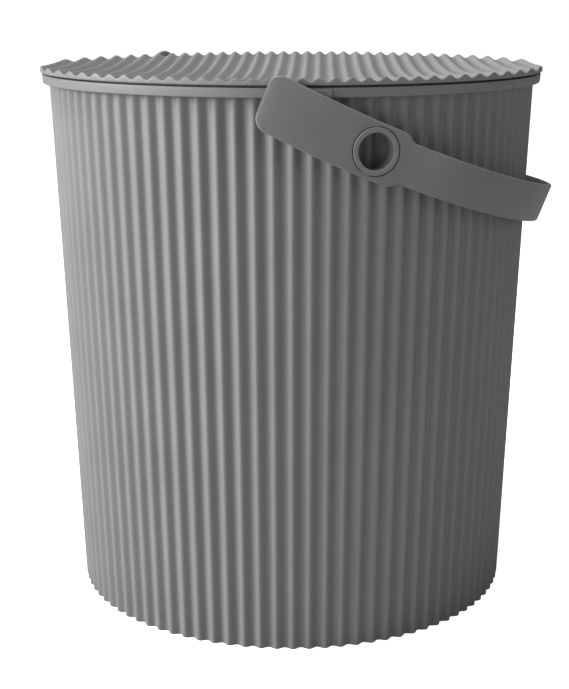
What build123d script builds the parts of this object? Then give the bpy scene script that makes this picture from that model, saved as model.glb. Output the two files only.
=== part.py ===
"""Ribbed household bucket with a corrugated stool lid and a swinging strap handle.

Units are millimetres. The origin is the middle of the underside, on the floor, with Z up.
The handle turns about a line along Y, and at rest it lies lowered towards +X.
"""

import os
from math import asin, atan2, ceil, cos, degrees, hypot, radians, sin, sqrt

from build123d import *

os.makedirs("parts", exist_ok=True)

# Body: a tapered pail with vertical ribs from the floor to the rim
body_height = 350.4
top_radius = 160.2
wall_taper = 12.2
rib_count = 90
rib_depth = 2.8
wall = 2.2
floor_level = 4.0
floor_thickness = 2.5
foot_width = 6.0

# Rim: a plate round the mouth with a lip turned down outside it
rim_height = 5.8
rim_overhang = 4.8
rim_plate = 2.0
rim_lip = 2.0
rim_draft = 0.6
rim_ledge = 1.2
rim_softening = 0.7

# Rim pads: thick places on the rim behind the two tails of the strap
pad_proud = 0.9
pad_height = 14.0
pad_start = 8.5
pad_end = 21.0

# Handle pivots: hollow round bosses on the wall
pivot_drop = 35.7
boss_radius = 13.8
boss_bore = 10.7
boss_proud = 0.5
boss_softening = 0.9

# Handle: one bowed strap, narrower round the bail than at its two tails
pivot_clearance = 0.6
strap_side_gap = 1.7
strap_thickness = 3.3
arm_width = 25.0
tail_width = 33.0
tail_length = 71.0
tail_corner = 8.0
tail_bend_radius = 300.0
shoulder_reach = 14.0
shoulder_run = 7.0
shoulder_softening = 5.0
bail_clearance = 2.6
bail_turn_radius = 60.0
bow_radius = 850.0
handle_droop = 23.1
cutting_overrun = 2.0

# Lid: a dished corrugated seat on a plain edge, with a locating ring beneath
lid_overhang = 1.0
lid_gap = 1.2
lid_edge_height = 1.9
groove_pitch = 9.4
groove_depth = 2.4
dish_depth = 8.0
lid_turn = -17.5
seat_width = 5.5
skirt_gap = 0.8
skirt_thickness = 2.2
skirt_height = 9.0

# Places that follow from the sizes above
rim_base = body_height - rim_height
bottom_radius = top_radius - wall_taper
rim_radius = top_radius + rim_overhang
mouth_radius = top_radius - rib_depth - wall - rim_ledge
lid_radius = rim_radius + lid_overhang
pivot_height = body_height - pivot_drop
strap_inner = max(lid_radius, rim_radius + pad_proud) + strap_side_gap
strap_outer = strap_inner + strap_thickness
lid_base = body_height + lid_gap
lid_top = lid_base + lid_edge_height + groove_depth
bail_inner = hypot(lid_radius, lid_top - pivot_height) + bail_clearance
bail_outer = bail_inner + strap_thickness


def crest_radius(height):
    """Radius over the rib crests at a height."""
    return bottom_radius + wall_taper * height / rim_base


def wave(crest, step, count, place):
    """Chain of arcs, one out and one in for each rib, with each point set by place(radius, turn)."""
    middle = crest - rib_depth / 2
    for index in range(count):
        turn = index * step
        rise = [place(middle, turn - step / 4), place(crest, turn), place(middle, turn + step / 4)]
        fall = [rise[2], place(crest - rib_depth, turn + step / 2), place(middle, turn + step * 3 / 4)]
        ThreePointArc(*rise)
        ThreePointArc(*fall)


def ribbed_face(height, inset):
    """Face inside the ribbed outline at a height, drawn in from the outside by inset."""
    with BuildSketch(Plane.XY.offset(height)) as face:
        with BuildLine():
            wave(
                crest_radius(height) - inset,
                360 / rib_count,
                rib_count,
                lambda radius, turn: Vector(radius, 0).rotate(Axis.Z, turn - 90),
            )
        make_face()
    return face.sketch


# Rim pads and pivot bosses, made on the rear side and mirrored to the front
with BuildPart() as fittings:
    with BuildSketch(Plane.XY.offset(body_height - pad_height)):
        with BuildLine():
            outside = CenterArc((0, 0), rim_radius + pad_proud, 90 + pad_start, pad_end - pad_start)
            inside = CenterArc((0, 0), mouth_radius, 90 + pad_start, pad_end - pad_start)
            Line(outside @ 0, inside @ 0)
            Line(outside @ 1, inside @ 1)
        make_face()
    extrude(amount=pad_height - rim_softening)

    with BuildSketch(Plane.YZ):
        with BuildLine():
            boss_root = mouth_radius - rim_ledge
            boss_end = strap_outer + boss_proud
            Polyline(
                (boss_root, pivot_height + boss_bore),
                (boss_end, pivot_height + boss_bore),
                (boss_end, pivot_height + boss_radius),
                (boss_root, pivot_height + boss_radius),
                close=True,
            )
        boss_ring = make_face()
        fillet(boss_ring.vertices().group_by(Axis.Y)[-1], boss_softening)
    revolve(axis=Axis((0, 0, pivot_height), (0, 1, 0)))
    mirror(about=Plane.XZ)

# Body
with BuildPart() as body:
    loft([ribbed_face(0, 0), ribbed_face(body_height - rim_plate, 0)], ruled=True)
    add(fittings.part)

    # The mouth plate and the lip that turns down outside it
    with BuildSketch(Plane.XZ):
        with BuildLine():
            lip_radius = rim_radius - rim_draft - rim_lip
            Polyline(
                (mouth_radius, body_height),
                (rim_radius, body_height),
                (rim_radius - rim_draft, rim_base),
                (lip_radius, rim_base),
                (lip_radius, body_height - rim_plate),
                (mouth_radius, body_height - rim_plate),
                close=True,
            )
        rim_section = make_face()
        fillet(rim_section.vertices().group_by(Axis.X)[-1], rim_softening)
    revolve(axis=Axis.Z)

    # The inside, ribbed like the outside so that the wall keeps one thickness
    floor_top = floor_level + floor_thickness
    under_mouth = body_height - rim_plate
    loft(
        [ribbed_face(floor_top, wall), ribbed_face(under_mouth, wall)],
        ruled=True,
        mode=Mode.SUBTRACT,
    )
    with BuildSketch(Plane.XY.offset(body_height)):
        Circle(mouth_radius)
    extrude(amount=-rim_plate, mode=Mode.SUBTRACT)

    # The recess under the floor, inside the foot
    with BuildSketch():
        Circle(bottom_radius - foot_width)
    extrude(amount=floor_level, mode=Mode.SUBTRACT)

body.part.label = "body"
export_step(body.part, "parts/body.step")


def strap_face_path(inset):
    """One face of the strap in plan, from the front tail round the bail to the rear tail."""
    side = strap_outer - inset
    nose = bail_outer - inset
    turn = bail_turn_radius - inset
    bend = tail_bend_radius - inset
    run = sqrt((nose - side) * (nose + side - 2 * turn))
    turn_sweep = degrees(atan2(run, side - turn))
    tail_sweep = degrees(asin(tail_length / tail_bend_radius)) + cutting_overrun
    front_tail = CenterArc((0, tail_bend_radius - strap_outer), bend, -90 - tail_sweep, tail_sweep)
    Line((0, -side), (run, -side))
    CenterArc((run, turn - side), turn, -90, turn_sweep)
    CenterArc((0, 0), nose, turn_sweep - 90, 180 - 2 * turn_sweep)
    CenterArc((run, side - turn), turn, 90 - turn_sweep, turn_sweep)
    Line((run, side), (0, side))
    rear_tail = CenterArc((0, strap_outer - tail_bend_radius), bend, 90, tail_sweep)
    return front_tail @ 0, rear_tail @ 1


# Handle: the plan of the strap, cut to the side view of its bow, tails and shoulders
pull = Vector(cos(radians(handle_droop)), 0, -sin(radians(handle_droop)))
lift = Vector(sin(radians(handle_droop)), 0, cos(radians(handle_droop)))
pivot = Vector(0, 0, pivot_height)

with BuildPart() as handle:
    with BuildSketch(Plane(origin=pivot, x_dir=pull, z_dir=lift)):
        with BuildLine():
            outer_ends = strap_face_path(0)
            inner_ends = strap_face_path(strap_thickness)
            Line(outer_ends[0], inner_ends[0])
            Line(outer_ends[1], inner_ends[1])
        make_face()
    extrude(amount=2 * tail_width, both=True)

    with BuildSketch(Plane(origin=pivot, x_dir=pull, z_dir=(0, -1, 0))):
        with BuildLine():
            bow_middle = (0, bow_radius)
            tail_turn = degrees(asin(tail_length / bow_radius))
            eye_turn = degrees(asin(shoulder_reach / bow_radius))
            arm_turn = degrees(asin((shoulder_reach + shoulder_run) / bow_radius))
            far_turn = degrees(asin(bail_outer / bow_radius)) + cutting_overrun
            edges = []
            for side in (-1, 1):
                tail_edge = bow_radius - side * tail_width / 2
                arm_edge = bow_radius - side * arm_width / 2
                tail = CenterArc(bow_middle, tail_edge, -90 - tail_turn, tail_turn + eye_turn)
                arm = CenterArc(bow_middle, arm_edge, -90 + arm_turn, far_turn - arm_turn)
                Line(tail @ 1, arm @ 0)
                edges.append((tail, arm))
            Line(edges[0][0] @ 0, edges[1][0] @ 0)
            Line(edges[0][1] @ 1, edges[1][1] @ 1)
        strap_side = make_face()
        corners = strap_side.vertices().sort_by(Axis((0, 0, 0), pull))
        fillet(corners[:2], tail_corner)
        fillet(corners[2:6], shoulder_softening)
        Circle(boss_radius + pivot_clearance, mode=Mode.SUBTRACT)
    extrude(amount=2 * strap_outer, both=True, mode=Mode.INTERSECT)
handle.part.label = "handle"
export_step(handle.part, "parts/handle.step")


# Lid: the corrugated plate is turned about a far axis, so that it is dished both ways
edge_level = lid_top - groove_depth / 2
middle_level = edge_level - dish_depth
dish_radius = lid_radius**2 / (2 * dish_depth)
groove_count = ceil(lid_radius / groove_pitch)
plate_turn = degrees(asin((groove_count + 1) * groove_pitch / dish_radius))
across = Vector(1, 0, 0).rotate(Axis.Z, lid_turn)
dish_axis = Axis((0, 0, middle_level + dish_radius), across)
tilted_up = Vector(0, 0, 1).rotate(Axis((0, 0, 0), across), -plate_turn)


def plate_point(offset, rise):
    """Point of the plate's section, as far below the dish's axis as the dish is there, plus rise."""
    return offset, dish_depth * (offset / lid_radius) ** 2 - dish_radius + rise


with BuildPart() as lid:
    with BuildSketch(Plane(origin=dish_axis.position, x_dir=across, z_dir=across.cross(tilted_up))):
        with BuildLine() as ripple:
            for index in range(-groove_count, groove_count + 1):
                turns = [
                    plate_point((index + share) * groove_pitch, rise * groove_depth / 2)
                    for share, rise in ((-0.25, 0), (0, 1), (0.25, 0), (0.5, -1), (0.75, 0))
                ]
                ThreePointArc(*turns[0:3])
                ThreePointArc(*turns[2:5])
            plate_under = -groove_depth / 2 - lid_edge_height
            left = (-groove_count - 0.25) * groove_pitch
            right = (groove_count + 0.75) * groove_pitch
            beneath = ThreePointArc(
                plate_point(left, plate_under), plate_point(0, plate_under), plate_point(right, plate_under)
            )
            Line(plate_point(left, 0), beneath @ 0)
            Line(plate_point(right, 0), beneath @ 1)
        make_face()
    revolve(axis=dish_axis, revolution_arc=2 * plate_turn)
    with BuildSketch(Plane.XY.offset(lid_base - dish_depth)):
        Circle(lid_radius)
    extrude(amount=2 * dish_depth + 4 * groove_depth, mode=Mode.INTERSECT)

    # The seat that rests on the mouth plate, and the ring that locates the lid inside it
    with BuildSketch(Plane.XZ):
        with BuildLine():
            skirt_outer = mouth_radius - skirt_gap
            skirt_inner = skirt_outer - skirt_thickness
            ring_top = lid_base + lid_edge_height / 4
            Polyline(
                (skirt_inner, ring_top),
                (skirt_inner, body_height - skirt_height),
                (skirt_outer, body_height - skirt_height),
                (skirt_outer, body_height),
                (skirt_outer + seat_width, body_height),
                (skirt_outer + seat_width, ring_top),
                close=True,
            )
        make_face()
    revolve(axis=Axis.Z)
lid.part.label = "lid"
export_step(lid.part, "parts/lid.step")
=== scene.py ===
import math

import bpy
from mathutils import Matrix, Vector


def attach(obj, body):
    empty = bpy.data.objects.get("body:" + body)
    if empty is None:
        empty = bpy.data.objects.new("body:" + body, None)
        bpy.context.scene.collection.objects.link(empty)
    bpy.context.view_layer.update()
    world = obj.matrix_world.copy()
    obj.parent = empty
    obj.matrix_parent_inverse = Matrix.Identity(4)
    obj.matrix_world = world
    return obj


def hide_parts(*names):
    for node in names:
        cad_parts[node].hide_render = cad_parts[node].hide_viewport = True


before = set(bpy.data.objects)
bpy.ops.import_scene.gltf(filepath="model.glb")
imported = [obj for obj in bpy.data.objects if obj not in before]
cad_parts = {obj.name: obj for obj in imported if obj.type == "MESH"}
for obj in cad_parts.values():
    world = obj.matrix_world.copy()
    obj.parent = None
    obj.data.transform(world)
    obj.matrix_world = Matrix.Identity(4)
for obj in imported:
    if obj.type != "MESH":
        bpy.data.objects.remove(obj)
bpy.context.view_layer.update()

print("frame loaded")

# Sizes are in mm and angles in degrees, unless a note says otherwise
mm = 0.001
fullTurn = 2 * math.pi


# Small helpers

def toLinear(hexColour):
    # sRGB hex to the linear values that a shader socket takes
    parts = [int(hexColour[i:i + 2], 16) / 255 for i in (1, 3, 5)]
    return [p / 12.92 if p <= 0.04045 else ((p + 0.055) / 1.055) ** 2.4 for p in parts] + [1.0]


def addNode(tree, kind, settings=None, values=None, links=None):
    # one node with its settings, its unlinked values and its incoming links
    node = tree.nodes.new(kind)
    for name, value in (settings or {}).items():
        setattr(node, name, value)
    for name, value in (values or {}).items():
        node.inputs[name].default_value = value
    for name, (source, output) in (links or {}).items():
        tree.links.new(source.outputs[output], node.inputs[name])
    return node


def makePiece(name, points, faces, material, body, creaseDegrees=40):
    mesh = bpy.data.meshes.new(name)
    mesh.from_pydata([tuple(c * mm for c in p) for p in points], [], faces)
    mesh.validate()
    mesh.materials.append(material)
    mesh.shade_smooth()
    mesh.set_sharp_from_angle(angle=math.radians(creaseDegrees))
    piece = bpy.data.objects.new(name, mesh)
    bpy.context.scene.collection.objects.link(piece)
    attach(piece, body)
    return piece


def ringFaces(rows, count, closed=False):
    # quads between rows of points, each row a closed ring of count points
    faces = []
    last = rows if closed else rows - 1
    for row in range(last):
        below, above = row * count, ((row + 1) % rows) * count
        for i in range(count):
            j = (i + 1) % count
            faces.append((below + i, below + j, above + j, above + i))
    return faces


def cappedFaces(rows, count):
    # the same quads with a face over each end
    faces = ringFaces(rows, count)
    faces.append(tuple(reversed(range(count))))
    faces.append(tuple(range((rows - 1) * count, rows * count)))
    return faces


def turnedOver(faces):
    return [tuple(reversed(face)) for face in faces]


def quarterTurn(steps=4):
    # sine and cosine at even steps from 0 to 90 degrees
    angles = [math.radians(90 * step / steps) for step in range(steps + 1)]
    return [(math.sin(angle), math.cos(angle)) for angle in angles]


def roundCorner(start, corner, end, radius, steps=4):
    # points of a fillet in a section of (radius, height) pairs
    a, c, b = Vector(start), Vector(corner), Vector(end)
    toStart, toEnd = (a - c).normalized(), (b - c).normalized()
    half = toStart.angle(toEnd) / 2
    centre = c + (toStart + toEnd).normalized() * (radius / math.sin(half))
    first = c + toStart * (radius / math.tan(half))
    last = c + toEnd * (radius / math.tan(half))
    points = []
    for step in range(steps + 1):
        way = (first - centre).lerp(last - centre, step / steps).normalized()
        points.append(tuple(centre + way * radius))
    return points


# Plastic: polypropylene, injection moulded in a finely eroded tool, so it is matte with a soft sheen.
# The eye reads a slightly cloudy grey, a fine grain and paler rubbed places.

def mouldedPolypropylene(name, look):
    material = bpy.data.materials.new(name)
    material.use_nodes = True
    tree = material.node_tree
    tree.nodes.clear()
    out = addNode(tree, "ShaderNodeOutputMaterial")
    place = addNode(tree, "ShaderNodeTexCoord")
    perMetre = 1 / mm
    cloud = addNode(tree, "ShaderNodeTexNoise", values={
        "Scale": perMetre / look["cloudMm"], "Detail": 3.0, "Roughness": 0.55,
    }, links={"Vector": (place, "Object")})
    tone = addNode(tree, "ShaderNodeMix", {"data_type": "RGBA"}, links={0: (cloud, 0)})
    tone.inputs[6].default_value = toLinear(look["dark"])
    tone.inputs[7].default_value = toLinear(look["light"])
    rub = addNode(tree, "ShaderNodeTexNoise", values={
        "Scale": perMetre / look["rubMm"], "Detail": 6.0, "Roughness": 0.7,
    }, links={"Vector": (place, "Object")})
    rubMask = addNode(tree, "ShaderNodeMapRange", values={
        "From Min": look["rubFrom"], "From Max": look["rubFull"],
        "To Min": 0.0, "To Max": look["rubAmount"],
    }, links={"Value": (rub, 0)})
    colour = addNode(tree, "ShaderNodeMix", {"data_type": "RGBA"}, links={0: (rubMask, 0), 6: (tone, 2)})
    colour.inputs[7].default_value = toLinear(look["rubbed"])
    grain = addNode(tree, "ShaderNodeTexNoise", values={
        "Scale": perMetre / look["grainMm"], "Detail": 2.0, "Roughness": 0.6,
    }, links={"Vector": (place, "Object")})
    rough = addNode(tree, "ShaderNodeMapRange", values={
        "From Min": look["cloudLow"], "From Max": look["cloudHigh"],
        "To Min": look["roughness"] - look["roughLess"], "To Max": look["roughness"] + look["roughMore"],
    }, links={"Value": (cloud, 0)})
    ripple = addNode(tree, "ShaderNodeBump", values={
        "Strength": look["waveStrength"], "Distance": look["waveHeightMm"] * mm,
    }, links={"Height": (cloud, 0)})
    bump = addNode(tree, "ShaderNodeBump", values={
        "Strength": look["grainStrength"], "Distance": look["grainHeightMm"] * mm,
    }, links={"Height": (grain, 0), "Normal": (ripple, 0)})
    skin = addNode(tree, "ShaderNodeBsdfPrincipled", values={
        "IOR": look["ior"], "Specular IOR Level": look["specular"], "Metallic": 0.0,
    }, links={"Base Color": (colour, 2), "Roughness": (rough, 0), "Normal": (bump, 0)})
    tree.links.new(skin.outputs[0], out.inputs[0])
    return material


# The real grain is near 0.1 mm and is drawn coarser here, so that it shows
bodyLook = {
    "dark": "#737373", "light": "#7e7e7e", "cloudMm": 45, "cloudLow": 0.3, "cloudHigh": 0.7,
    "rubbed": "#8f8f8f", "rubMm": 6, "rubFrom": 0.62, "rubFull": 0.8, "rubAmount": 0.25,
    "roughness": 0.5, "roughLess": 0.05, "roughMore": 0.06, "specular": 0.5, "ior": 1.49,
    "waveStrength": 0.35, "waveHeightMm": 0.2, "grainMm": 0.9, "grainStrength": 0.12, "grainHeightMm": 0.05,
}
lidLook = dict(bodyLook, dark="#767676", light="#828282", cloudMm=38, rubAmount=0.4)
handleLook = dict(bodyLook, dark="#717171", light="#7b7b7b", cloudMm=30, roughness=0.46, waveHeightMm=0.12)

bodyPlastic = mouldedPolypropylene("bodyPolypropylene", bodyLook)
lidPlastic = mouldedPolypropylene("lidPolypropylene", lidLook)
handlePlastic = mouldedPolypropylene("handlePolypropylene", handleLook)
print("materials made")


# Pail: one ribbed wall with its foot, floor, rim and mouth

pail = {
    "height": 350.4, "topCrest": 160.2, "bottomCrest": 148.0, "ribs": 90, "ribDepth": 2.8, "wall": 2.2,
    "floorLevel": 4.0, "floorThick": 2.5, "floorRound": 1.0, "insideRound": 3.0, "hub": 0.5,
    "footWidth": 6.0, "footInnerRound": 0.6, "footRound": 0.9,
    "heel": 3.4, "heelWave": 0.3,  # how far in the foot starts to follow the ribs, and by how much
    "rimHeight": 5.8, "rimOverhang": 4.8, "rimPlate": 2.0, "rimLip": 2.0, "rimDraft": 0.6, "rimLedge": 1.2,
    "rimRound": 0.7, "lipRound": 0.5, "rootRound": 1.6,
    "pointsPerRib": 16, "wallSteps": 14, "insideSteps": 8,
}
rimBase = pail["height"] - pail["rimHeight"]
plateUnder = pail["height"] - pail["rimPlate"]
rimRadius = pail["topCrest"] + pail["rimOverhang"]
mouthRadius = pail["topCrest"] - pail["ribDepth"] - pail["wall"] - pail["rimLedge"]


def crestRadius(height):
    return pail["bottomCrest"] + (pail["topCrest"] - pail["bottomCrest"]) * height / rimBase


def ribDrop(turn):
    # how far the wall lies inside its crests: 0 on a crest, the rib depth in a valley
    return pail["ribDepth"] * (0.5 - 0.5 * math.cos(pail["ribs"] * turn))


# The pail is drawn in rows of (radius, height, share of the rib wave), from under the floor to its top

def footRows():
    level, crest = pail["floorLevel"], pail["bottomCrest"]
    inner, corner, soft = crest - pail["footWidth"], pail["floorRound"], pail["footInnerRound"]
    rows = [(pail["hub"], level, 0), (inner / 2, level, 0), (inner - corner, level, 0)]
    rows += [(inner, level - corner, 0), (inner, soft, 0), (inner + soft, 0, 0)]
    rows.append((crest - pail["heel"], 0, pail["heelWave"]))
    outer = pail["footRound"]
    return rows + [(crest - outer * (1 - sine), outer * (1 - cosine), 1) for sine, cosine in quarterTurn()]


def wallRows():
    # up the outside, which turns out into the plate under the rim
    low, root, steps = pail["footRound"], pail["rootRound"], pail["wallSteps"]
    rows = []
    for step in range(1, steps + 1):
        height = low + (plateUnder - root - low) * step / steps
        rows.append((crestRadius(height), height, 1))
    for step, (sine, cosine) in enumerate(quarterTurn()[1:], 1):
        reach = crestRadius(plateUnder) + root * (1 - cosine)
        rows.append((reach, plateUnder - root + root * sine, 1 - step / 5))
    return rows


def rimRows():
    # down inside the lip, round it, up over the rim and down into the mouth
    lip, top = rimRadius - pail["rimDraft"] - pail["rimLip"], pail["height"]
    corners = [(lip, plateUnder), (lip, rimBase), (rimRadius - pail["rimDraft"], rimBase)]
    corners += [(rimRadius, top), (mouthRadius, top), (mouthRadius, plateUnder)]
    fine, full = (pail["lipRound"], 3), (pail["rimRound"], 4)
    rows = [(lip, plateUnder, 0)]
    for number, (radius, steps) in enumerate((fine, full, full, fine)):
        rounded = roundCorner(*corners[number:number + 3], radius, steps)
        rows += [(reach, height, 0) for reach, height in rounded]
    return rows + [(mouthRadius, plateUnder, 0)]


def insideRows():
    # down the ribbed inside and round its corner to the middle of the floor
    floorTop = pail["floorLevel"] + pail["floorThick"]
    corner, steps = pail["insideRound"], pail["insideSteps"]
    rows = []
    for step in range(steps + 1):
        height = plateUnder + (floorTop + corner - plateUnder) * step / steps
        rows.append((crestRadius(height) - pail["wall"], height, 1))
    for step, (sine, cosine) in enumerate(quarterTurn()[1:], 1):
        height = floorTop + corner - corner * sine
        rows.append((crestRadius(height) - pail["wall"] - corner * (1 - cosine), height, 1 - step / 4))
    return rows + [(pail["bottomCrest"] / 2, floorTop, 0), (pail["hub"], floorTop, 0)]


def buildPail():
    count = pail["ribs"] * pail["pointsPerRib"]
    rows = footRows() + wallRows() + rimRows() + insideRows()
    points = []
    for radius, height, share in rows:
        for i in range(count):
            turn = fullTurn * i / count
            reach = radius - share * ribDrop(turn)
            points.append((reach * math.sin(turn), -reach * math.cos(turn), height))
    faces = cappedFaces(len(rows), count)
    piece = makePiece("ribbedPail", points, faces, bodyPlastic, "pail")
    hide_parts("body")


buildPail()
print("pail built")


# Pivot bosses: hollow rings on the wall, with softened ends

boss = {
    "height": 314.7, "radius": 13.8, "bore": 10.7, "end": 171.5, "root": 153.0, "sink": 1.0,
    "round": 0.5, "points": 96,
}


def buildBosses():
    outerEnd, boreEnd = (boss["radius"], boss["end"]), (boss["bore"], boss["end"])
    outerRoot, boreRoot = (boss["radius"], boss["root"]), (boss["bore"], boss["root"])
    section = [boreRoot] + roundCorner(boreRoot, boreEnd, outerEnd, boss["round"])
    section += roundCorner(boreEnd, outerEnd, outerRoot, boss["round"]) + [outerRoot]
    for side, name in ((-1, "frontBoss"), (1, "rearBoss")):
        points = []
        for radius, reach in section:
            for i in range(boss["points"]):
                turn = fullTurn * i / boss["points"]
                x, z = radius * math.sin(turn), boss["height"] + radius * math.cos(turn)
                depth = reach
                if reach == boss["root"]:
                    # the root follows the wall, so no end stands inside the pail
                    around = math.asin(x / crestRadius(z))
                    depth = (crestRadius(z) - ribDrop(around) - boss["sink"]) * math.cos(around)
                points.append((x, side * depth, z))
        faces = ringFaces(len(section), boss["points"], closed=True)
        if side > 0:
            faces = turnedOver(faces)
        makePiece(name, points, faces, bodyPlastic, "pail")


buildBosses()


# Rim pads: thick places on the rim behind the tails; start and end are angles round the pail

pad = {"proud": 0.9, "height": 14.0, "start": 8.5, "end": 21.0, "sink": 0.6, "round": 0.8, "steps": 24}


def buildPads():
    top, low = pail["height"] - pail["rimRound"], pail["height"] - pad["height"]
    outer, inner = rimRadius + pad["proud"], crestRadius(low) - pail["ribDepth"] - pad["sink"]
    section = [(inner, low)] + roundCorner((inner, low), (outer, low), (outer, top), pad["round"])
    section += roundCorner((outer, low), (outer, top), (inner, top), pad["round"]) + [(inner, top)]
    span = pad["end"] - pad["start"]
    for side, name in ((-1, "frontPad"), (1, "rearPad")):
        points = []
        for step in range(pad["steps"] + 1):
            turn = math.radians(pad["start"] + span * step / pad["steps"])
            for radius, height in section:
                points.append((-radius * math.sin(turn), side * radius * math.cos(turn), height))
        faces = cappedFaces(pad["steps"] + 1, len(section))
        if side > 0:
            faces = turnedOver(faces)
        makePiece(name, points, faces, bodyPlastic, "pail")


buildPads()
print("bosses and pads built")


# Handle: a bowed strap of one thickness, with two wide tails and an eye at each pivot.
# In plan the bail runs straight beside the pail, turns in, and goes round its far end on the nose radius.

strap = {
    "outer": 171.0, "thick": 3.3, "armWidth": 25.0, "tailWidth": 33.0, "tailLength": 71.0, "tailCorner": 8.0,
    "tailBend": 300.0, "shoulderReach": 13.0, "shoulderRun": 8.5, "nose": 176.94, "turn": 60.0,
    "bow": 850.0, "droop": 23.1, "edgeRound": 1.0, "crease": 35,
    "eye": 14.4, "eyeRound": 0.5, "eyeCrease": 60, "eyePoints": 96, "eyeBar": 250.0,
    "cornerSteps": 10, "tailSteps": 34, "sideSteps": 40, "turnSteps": 12, "noseSteps": 48,
}


def strapHalfWidth(x):
    share = min(1, max(0, (x - strap["shoulderReach"]) / strap["shoulderRun"]))
    ease = share * share * (3 - 2 * share)
    half = (strap["tailWidth"] + (strap["armWidth"] - strap["tailWidth"]) * ease) / 2
    fromEnd = x + strap["tailLength"]
    corner = strap["tailCorner"]
    if fromEnd < corner:
        half -= corner - math.sqrt(max(0.0, corner ** 2 - (corner - fromEnd) ** 2))
    return half


def arcPoints(centre, radius, start, end, steps):
    # places on an arc with their outward normals; 0 points to -Y and a quarter turn to +X
    points = []
    for step in range(1, steps + 1):
        turn = start + (end - start) * step / steps
        nx, ny = math.sin(turn), -math.cos(turn)
        points.append((centre[0] + radius * nx, centre[1] + radius * ny, nx, ny))
    return points


def strapPath():
    # plan of the outer face from the front tail round the bail to the rear tail: place and outward normal
    length, corner, bend, side = strap["tailLength"], strap["tailCorner"], strap["tailBend"], strap["outer"]
    tailSteps, sideSteps = strap["tailSteps"], strap["sideSteps"]
    places = [-length + corner * (1 - cosine) for sine, cosine in quarterTurn(strap["cornerSteps"])[:-1]]
    straight = length - corner
    places += [-length + corner + straight * step / tailSteps for step in range(1, tailSteps + 1)]
    path = []
    for x in places:
        lean = math.asin(x / bend)
        path.append((x, bend * (1 - math.cos(lean)) - side, math.sin(lean), -math.cos(lean)))
    nose, turn = strap["nose"], strap["turn"]
    run = math.sqrt((nose - side) * (nose + side - 2 * turn))
    sweep = math.atan2(run, side - turn)
    path += [(run * step / sideSteps, -side, 0.0, -1.0) for step in range(1, sideSteps + 1)]
    path += arcPoints((run, turn - side), turn, 0, sweep, strap["turnSteps"])
    path += arcPoints((0, 0), nose, sweep, math.pi / 2, strap["noseSteps"])
    return path + [(x, -y, nx, -ny) for x, y, nx, ny in reversed(path[:-1])]


def strapSection(half):
    # rounded oblong round the strap: distance across it, and depth in from the outer face
    thick = strap["thick"]
    soft = min(strap["edgeRound"], half * 0.45)  # the rounding shrinks where the tail ends
    corners = ((1, thick - soft), (-1, thick - soft), (-1, soft), (1, soft))
    section = []
    for number, (side, depth) in enumerate(corners):
        for step in range(5):
            turn = math.radians(90 * number + 90 * step / 4)
            section.append((side * (half - soft) + soft * math.cos(turn), depth + soft * math.sin(turn)))
    return section


def buildHandle():
    droop = math.radians(strap["droop"])
    pull = Vector((math.cos(droop), 0, -math.sin(droop)))
    lift = Vector((math.sin(droop), 0, math.cos(droop)))
    pivot = Vector((0, 0, boss["height"]))
    points, path = [], strapPath()
    for x, y, nx, ny in path:
        bow = strap["bow"] - math.sqrt(strap["bow"] ** 2 - x * x)
        for across, inward in strapSection(strapHalfWidth(x)):
            flat = Vector((x - nx * inward, y - ny * inward))
            points.append(tuple(pivot + pull * flat.x + Vector((0, flat.y, 0)) + lift * (across + bow)))
    faces = turnedOver(cappedFaces(len(path), len(points) // len(path)))
    crease = strap["crease"]
    piece = makePiece("strapHandle", points, faces, handlePlastic, "handle", crease)
    cutEyes(piece)
    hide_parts("handle")


def cutEyes(piece):
    # both eyes are cut in one go by a long round bar, and their edges are softened
    count = strap["eyePoints"]
    points = []
    for y in (-strap["eyeBar"], strap["eyeBar"]):
        for i in range(count):
            turn = fullTurn * i / count
            x, z = strap["eye"] * math.sin(turn), boss["height"] + strap["eye"] * math.cos(turn)
            points.append((x * mm, y * mm, z * mm))
    mesh = bpy.data.meshes.new("eyeBar")
    mesh.from_pydata(points, [], cappedFaces(2, count))
    bar = bpy.data.objects.new("eyeBar", mesh)
    bpy.context.scene.collection.objects.link(bar)
    cut = piece.modifiers.new("eyes", "BOOLEAN")
    cut.object = bar
    cut.solver = "EXACT"
    soften = piece.modifiers.new("eyeEdges", "BEVEL")
    soften.limit_method = "ANGLE"
    soften.angle_limit = math.radians(strap["eyeCrease"])
    soften.width = strap["eyeRound"] * mm
    soften.segments = 3
    bpy.context.view_layer.update()
    shape = bpy.data.meshes.new_from_object(piece.evaluated_get(bpy.context.evaluated_depsgraph_get()))
    piece.modifiers.clear()
    piece.data = shape
    bpy.data.objects.remove(bar)
    shape.shade_smooth()
    shape.set_sharp_from_angle(angle=math.radians(strap["crease"]))


buildHandle()
print("handle built")


# Lid: a dished corrugated seat, its plain edge, and the locating ring beneath

lid = {
    "radius": 166.0, "base": 351.6, "edge": 1.9, "pitch": 9.4, "depth": 2.4, "dish": 8.0, "turn": -17.5,
    "seatWidth": 5.5, "seatGap": 0.02, "skirtGap": 0.8, "skirtThick": 2.2, "skirtHeight": 9.0,
    "skirtRound": 0.4, "edgeRound": 0.3, "edgeFoot": 0.5, "crease": 50,
    "columns": 720, "rowsAlong": 28, "underShares": (1.0, 0.8, 0.6, 0.4, 0.2, 0.02),
}


def lidTop(u, v):
    # height of the top, with u across the corrugations and v along them
    share = (u * u + v * v) / lid["radius"] ** 2
    edgeLevel = lid["base"] + lid["edge"] + lid["depth"] / 2
    wave = lid["depth"] / 2 * math.cos(fullTurn * u / lid["pitch"])
    return edgeLevel - lid["dish"] * (1 - share) + wave


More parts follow.
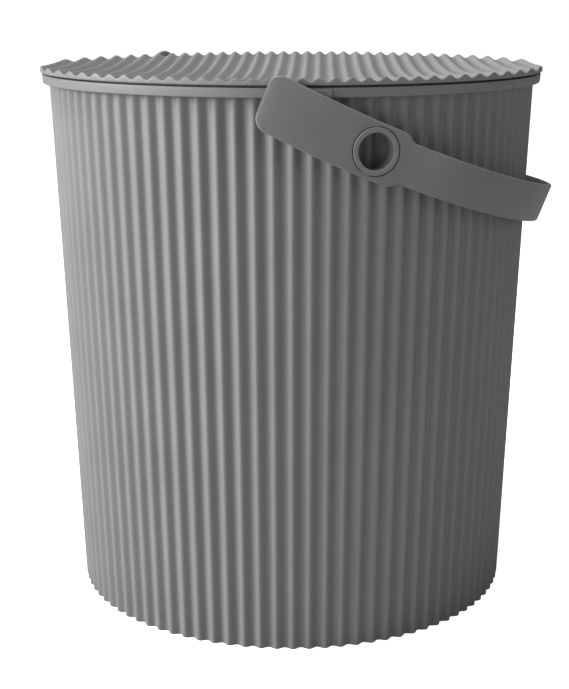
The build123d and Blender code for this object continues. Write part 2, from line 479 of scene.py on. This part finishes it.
def lidRings(inner):
    # rings of (radius, height, drop) from the top's rim round the edge and the underside to the middle;
    # a ring without a height of its own follows the top, less its drop
    radius, base, soft = lid["radius"], lid["base"], lid["edgeRound"]
    rings = [(inner + soft * sine, None, soft * (1 - cosine)) for sine, cosine in quarterTurn()[1:]]
    skirtOuter = mouthRadius - lid["skirtGap"]
    skirtInner = skirtOuter - lid["skirtThick"]
    seatOuter, seatLevel = skirtOuter + lid["seatWidth"], pail["height"] + lid["seatGap"]
    skirtEnd, ease = pail["height"] - lid["skirtHeight"], lid["skirtRound"]
    foot = lid["edgeFoot"]
    between = 0.3 * foot
    outline = [
        (radius, base + foot), (radius - between, base + between), (radius - foot, base),
        (seatOuter, base), (seatOuter, seatLevel), (skirtOuter, seatLevel),
        (skirtOuter, skirtEnd + ease), (skirtOuter - ease, skirtEnd),
        (skirtInner + ease, skirtEnd), (skirtInner, skirtEnd + ease),
    ]
    rings += [(reach, height, 0) for reach, height in outline]
    for share in lid["underShares"]:
        reach = skirtInner * share
        rings.append((reach, base - lid["dish"] * (1 - (reach / radius) ** 2), 0))
    return rings


def buildLid():
    turn = math.radians(lid["turn"])
    ux, uy = math.cos(turn), math.sin(turn)
    columns, along = lid["columns"], lid["rowsAlong"]
    inner = lid["radius"] - lid["edgeRound"]
    points, faces = [], []

    def place(u, v, z):
        points.append((u * ux - v * uy, u * uy + v * ux, z))
        return len(points) - 1

    grid = []
    for i in range(1, columns):
        lean = math.pi * (i / columns - 0.5)
        u, reach = inner * math.sin(lean), inner * math.cos(lean)
        across = [reach * (2 * k / along - 1) for k in range(along + 1)]
        grid.append([place(u, v, lidTop(u, v)) for v in across])
    left, right = place(-inner, 0, lidTop(-inner, 0)), place(inner, 0, lidTop(inner, 0))
    for a, b in zip(grid, grid[1:]):
        for k in range(along):
            faces.append((a[k], b[k], b[k + 1], a[k + 1]))
    for k in range(along):
        faces.append((left, grid[0][k], grid[0][k + 1]))
        faces.append((right, grid[-1][k + 1], grid[-1][k]))
    previous = [left] + [c[0] for c in grid] + [right] + [c[-1] for c in reversed(grid)]
    angles = [math.pi * (i / columns - 0.5) for i in range(columns)]
    angles += [math.pi / 2 + math.pi * i / columns for i in range(columns)]
    count = len(angles)
    for radius, height, drop in lidRings(inner):
        current = []
        for angle in angles:
            sine, cosine = math.sin(angle), math.cos(angle)
            z = lidTop(inner * sine, inner * cosine) - drop if height is None else height
            current.append(place(radius * sine, -radius * cosine, z))
        for i in range(count):
            j = (i + 1) % count
            faces.append((previous[j], previous[i], current[i], current[j]))
        previous = current
    faces.append(tuple(reversed(previous)))
    piece = makePiece("corrugatedLid", points, faces, lidPlastic, "lid", lid["crease"])
    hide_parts("lid")


buildLid()
print("lid built")


# Stage: a pale floor, soft lamps and the camera; the floor and the lamps are in metres

studio = {
    "floor": "#f4f4f4", "floorBounce": "#a8a8a8", "floorGlow": 0.86, "floorSize": 14.0,
    "world": "#ffffff", "worldStrength": 0.2, "aimHeight": 0.2,
    "cameraTurn": 16.33, "cameraDistance": 969.6, "cameraHeight": 406.0, "cameraNear": 50.0,
    "pitch": 0.2475, "yaw": -0.005, "roll": -0.0021,  # radians
    "focusPixels": 1422.3, "frameHeight": 689, "sensor": 36.0,
}
lamps = {
    "key": {"side": -80, "rise": 20, "distance": 2.6, "size": 1.5, "power": 98},
    "front": {"side": -46, "rise": 12, "distance": 3.0, "size": 1.6, "power": 30},
    "top": {"side": -60, "rise": 86, "distance": 2.8, "size": 1.4, "power": 66},
    "fill": {"side": 60, "rise": 15, "distance": 3.0, "size": 2.0, "power": 10},
}


def towards(side, rise, distance):
    # a place seen at an angle right of the camera's side of the object, and raised
    turn = math.radians(side - studio["cameraTurn"])
    flat = distance * math.cos(math.radians(rise))
    return Vector((flat * math.sin(turn), -flat * math.cos(turn), distance * math.sin(math.radians(rise))))


def buildLamps():
    aim = Vector((0, 0, studio["aimHeight"]))
    for name, lamp in lamps.items():
        data = bpy.data.lights.new(name + "Lamp", "AREA")
        data.shape = "DISK"
        data.size = lamp["size"]
        data.energy = lamp["power"]
        light = bpy.data.objects.new(name + "Lamp", data)
        light.location = aim + towards(lamp["side"], lamp["rise"], lamp["distance"])
        light.rotation_euler = (aim - light.location).to_track_quat("-Z", "Y").to_euler()
        bpy.context.scene.collection.objects.link(light)


def buildFloor():
    # matt and slightly glowing where it is seen, and darker in what it throws back on the object
    material = bpy.data.materials.new("paleFloor")
    material.use_nodes = True
    tree = material.node_tree
    tree.nodes.clear()
    out = addNode(tree, "ShaderNodeOutputMaterial")
    matt = addNode(tree, "ShaderNodeBsdfDiffuse", values={"Color": toLinear(studio["floor"])})
    glow = addNode(tree, "ShaderNodeEmission", values={
        "Color": toLinear("#ffffff"), "Strength": studio["floorGlow"],
    })
    both = addNode(tree, "ShaderNodeAddShader", links={0: (matt, 0), 1: (glow, 0)})
    bounce = addNode(tree, "ShaderNodeBsdfDiffuse", values={"Color": toLinear(studio["floorBounce"])})
    ray = addNode(tree, "ShaderNodeLightPath")
    pick = addNode(tree, "ShaderNodeMixShader", links={
        0: (ray, "Is Camera Ray"), 1: (bounce, 0), 2: (both, 0),
    })
    tree.links.new(pick.outputs[0], out.inputs[0])
    half = studio["floorSize"] / 2
    corners = [(-half, -half, 0), (half, -half, 0), (half, half, 0), (-half, half, 0)]
    mesh = bpy.data.meshes.new("floor")
    mesh.from_pydata(corners, [], [(0, 1, 2, 3)])
    mesh.materials.append(material)
    floor = bpy.data.objects.new("floor", mesh)
    bpy.context.scene.collection.objects.link(floor)


def buildWorld():
    # white where it is seen, and weaker as a light
    world = bpy.data.worlds.new("studioWorld")
    world.use_nodes = True
    tree = world.node_tree
    tree.nodes.clear()
    out = addNode(tree, "ShaderNodeOutputWorld")
    soft = addNode(tree, "ShaderNodeBackground", values={
        "Color": toLinear(studio["world"]), "Strength": studio["worldStrength"],
    })
    white = addNode(tree, "ShaderNodeBackground", values={
        "Color": toLinear(studio["world"]), "Strength": 1.0,
    })
    ray = addNode(tree, "ShaderNodeLightPath")
    pick = addNode(tree, "ShaderNodeMixShader", links={
        0: (ray, "Is Camera Ray"), 1: (soft, 0), 2: (white, 0),
    })
    tree.links.new(pick.outputs[0], out.inputs[0])
    bpy.context.scene.world = world


def buildCamera():
    data = bpy.data.cameras.new("photoCamera")
    data.sensor_width = studio["sensor"]
    data.lens = studio["focusPixels"] / studio["frameHeight"] * studio["sensor"]
    data.clip_start = studio["cameraNear"] * mm
    camera = bpy.data.objects.new("photoCamera", data)
    turn = math.radians(studio["cameraTurn"])
    pitch, yaw, roll = studio["pitch"], studio["yaw"], studio["roll"]
    ahead = Vector((math.sin(yaw) * math.cos(pitch), math.cos(yaw) * math.cos(pitch), -math.sin(pitch)))
    right = Vector((math.cos(yaw), -math.sin(yaw), 0))
    up = right.cross(ahead)
    right, up = right * math.cos(roll) + up * math.sin(roll), up * math.cos(roll) - right * math.sin(roll)
    toRow = Matrix.Rotation(-turn, 3, "Z")
    ahead, right, up = toRow @ ahead, toRow @ right, toRow @ up
    spot = toRow @ Vector((0, -studio["cameraDistance"] * mm, studio["cameraHeight"] * mm))
    camera.matrix_world = Matrix((
        (right.x, up.x, -ahead.x, spot.x), (right.y, up.y, -ahead.y, spot.y),
        (right.z, up.z, -ahead.z, spot.z), (0, 0, 0, 1),
    ))
    bpy.context.scene.collection.objects.link(camera)
    bpy.context.scene.camera = camera


buildFloor()
buildWorld()
buildLamps()
buildCamera()
bpy.context.scene.view_settings.view_transform = "Standard"
print("stage set")
